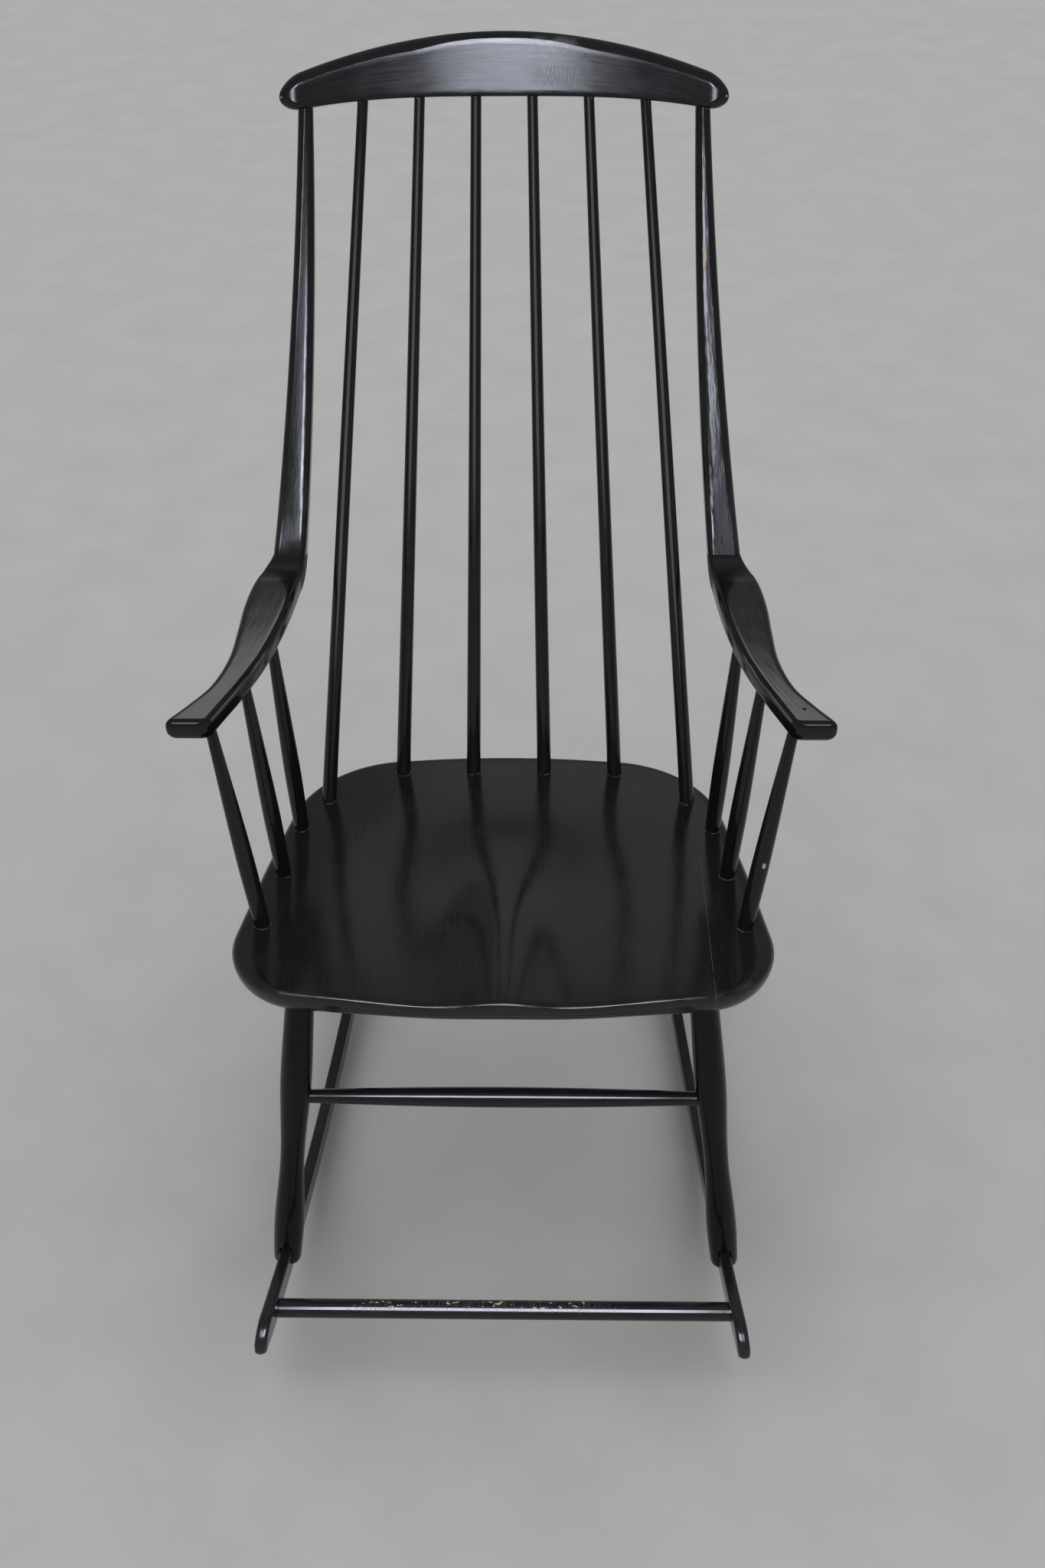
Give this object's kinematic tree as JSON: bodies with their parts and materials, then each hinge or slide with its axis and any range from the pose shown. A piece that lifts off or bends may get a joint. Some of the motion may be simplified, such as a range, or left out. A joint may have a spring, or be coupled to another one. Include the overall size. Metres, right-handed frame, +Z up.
{
  "type": "rocking chair",
  "caption": "Black-lacquered wooden rocking chair with a saddled seat, slender back spindles, a curved crest rail, swept armrests and curved runners that roll on the floor.",
  "frame": {"origin": "on the floor, below the middle of the runners' length, in the chair's plane of symmetry", "axes": "+Z up, the chair faces -Y, +X to the right as seen by someone standing in front"},
  "size_m": [0.591, 0.74, 1.0733],
  "materials": {
    "seat": "satin black lacquer over glued boards",
    "crest_rail": "satin black lacquer, brushed thin on the front face",
    "arms_and_posts": "satin black lacquer",
    "spindles": "semi-gloss black lacquer on turned wood",
    "legs_and_rails": "semi-gloss black lacquer on turned wood",
    "runners": "satin black lacquer"
  },
  "bodies": {
    "root": {"back_spindle_1": "spindles", "back_spindle_2": "spindles", "back_spindle_3": "spindles", "back_spindle_4": "spindles", "back_spindle_5": "spindles", "back_spindle_6": "spindles", "crest_rail": "crest_rail", "left_back_post": "arms_and_posts", "right_back_post": "arms_and_posts", "left_armrest": "arms_and_posts", "right_armrest": "arms_and_posts", "left_arm_spindle_rear": "spindles", "left_arm_spindle_middle": "spindles", "left_arm_spindle_front": "spindles", "right_arm_spindle_rear": "spindles", "right_arm_spindle_middle": "spindles", "right_arm_spindle_front": "spindles", "seat_board_1": "seat", "seat_board_2": "seat", "seat_board_3": "seat", "seat_board_4": "seat", "seat_board_5": "seat", "seat_board_6": "seat", "seat_board_7": "seat", "front_left_leg": "legs_and_rails", "front_right_leg": "legs_and_rails", "rear_left_leg": "legs_and_rails", "rear_right_leg": "legs_and_rails", "front_stretcher": "legs_and_rails", "rear_stretcher": "legs_and_rails", "front_foot_bar": "legs_and_rails", "rear_runner_bar": "legs_and_rails", "left_runner": "runners", "right_runner": "runners"}
  },
  "joints": []
}
